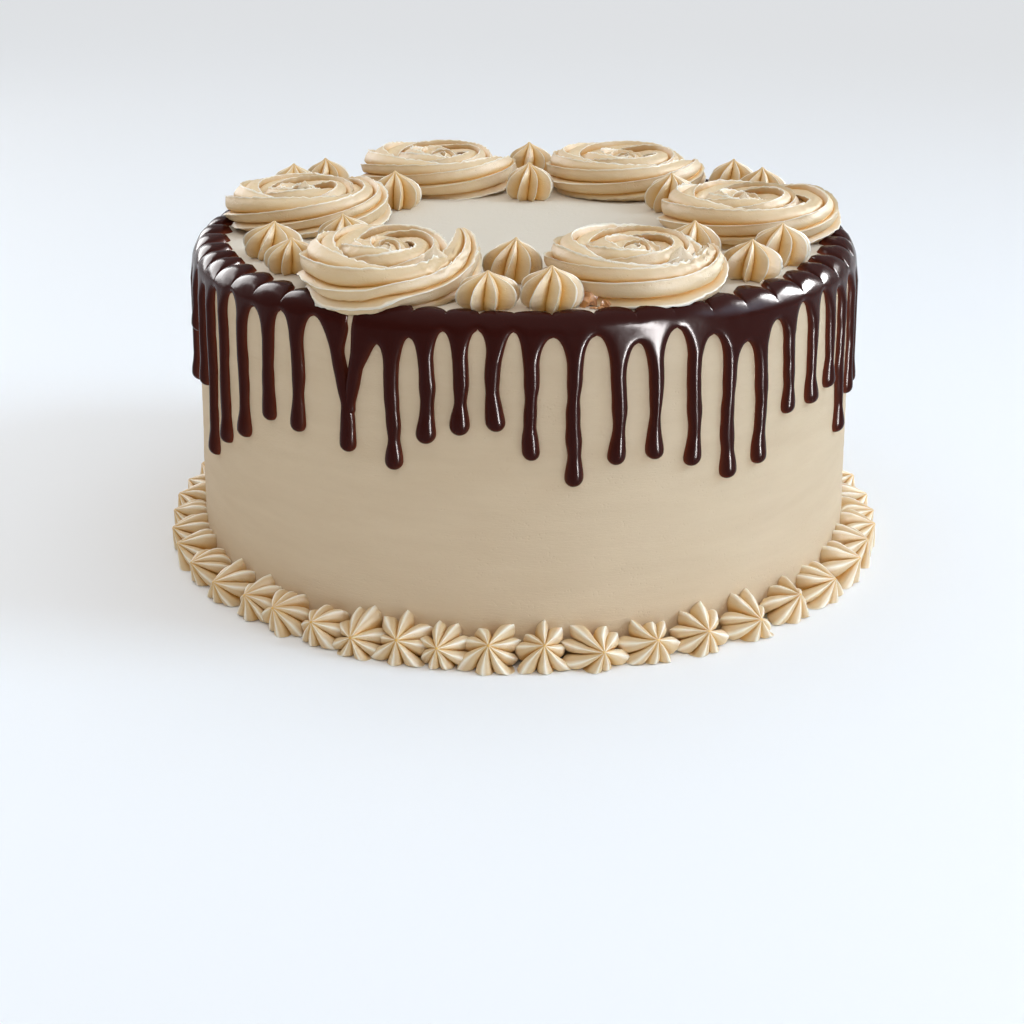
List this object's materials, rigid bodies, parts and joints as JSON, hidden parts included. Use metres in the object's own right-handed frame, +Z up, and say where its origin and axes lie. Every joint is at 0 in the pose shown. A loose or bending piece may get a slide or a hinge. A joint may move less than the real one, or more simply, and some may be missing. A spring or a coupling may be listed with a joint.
{
  "type": "layer cake",
  "caption": "Tall round frosted cake with a chocolate drip over the top edge, piped rosettes and small kisses on top and a piped star border round the foot.",
  "frame": {"origin": "middle of the underside, on the surface that the cake stands on", "axes": "+Z up, -Y towards the viewer at the front, +X to the viewer's right"},
  "size_m": [0.2522, 0.2519, 0.1185],
  "materials": {
    "smooth_buttercream": "smoothed caramel buttercream, satin, with faint level smears and fine pores",
    "piped_cream": "piped caramel buttercream, satin, slightly translucent at its thin ridges",
    "chocolate_ganache": "poured dark chocolate, glossy"
  },
  "bodies": {
    "root": {"cake_body": "smooth_buttercream", "ganache_drip": "chocolate_ganache", "rosette_1": "piped_cream", "rosette_2": "piped_cream", "rosette_3": "piped_cream", "rosette_4": "piped_cream", "rosette_5": "piped_cream", "rosette_6": "piped_cream", "kiss_01": "piped_cream", "kiss_02": "piped_cream", "kiss_03": "piped_cream", "kiss_04": "piped_cream", "kiss_05": "piped_cream", "kiss_06": "piped_cream", "kiss_07": "piped_cream", "kiss_08": "piped_cream", "kiss_09": "piped_cream", "kiss_10": "piped_cream", "kiss_11": "piped_cream", "kiss_12": "piped_cream", "kiss_13": "piped_cream", "kiss_14": "piped_cream", "kiss_15": "piped_cream", "kiss_16": "piped_cream", "kiss_17": "piped_cream", "star_border": "piped_cream"}
  },
  "joints": []
}
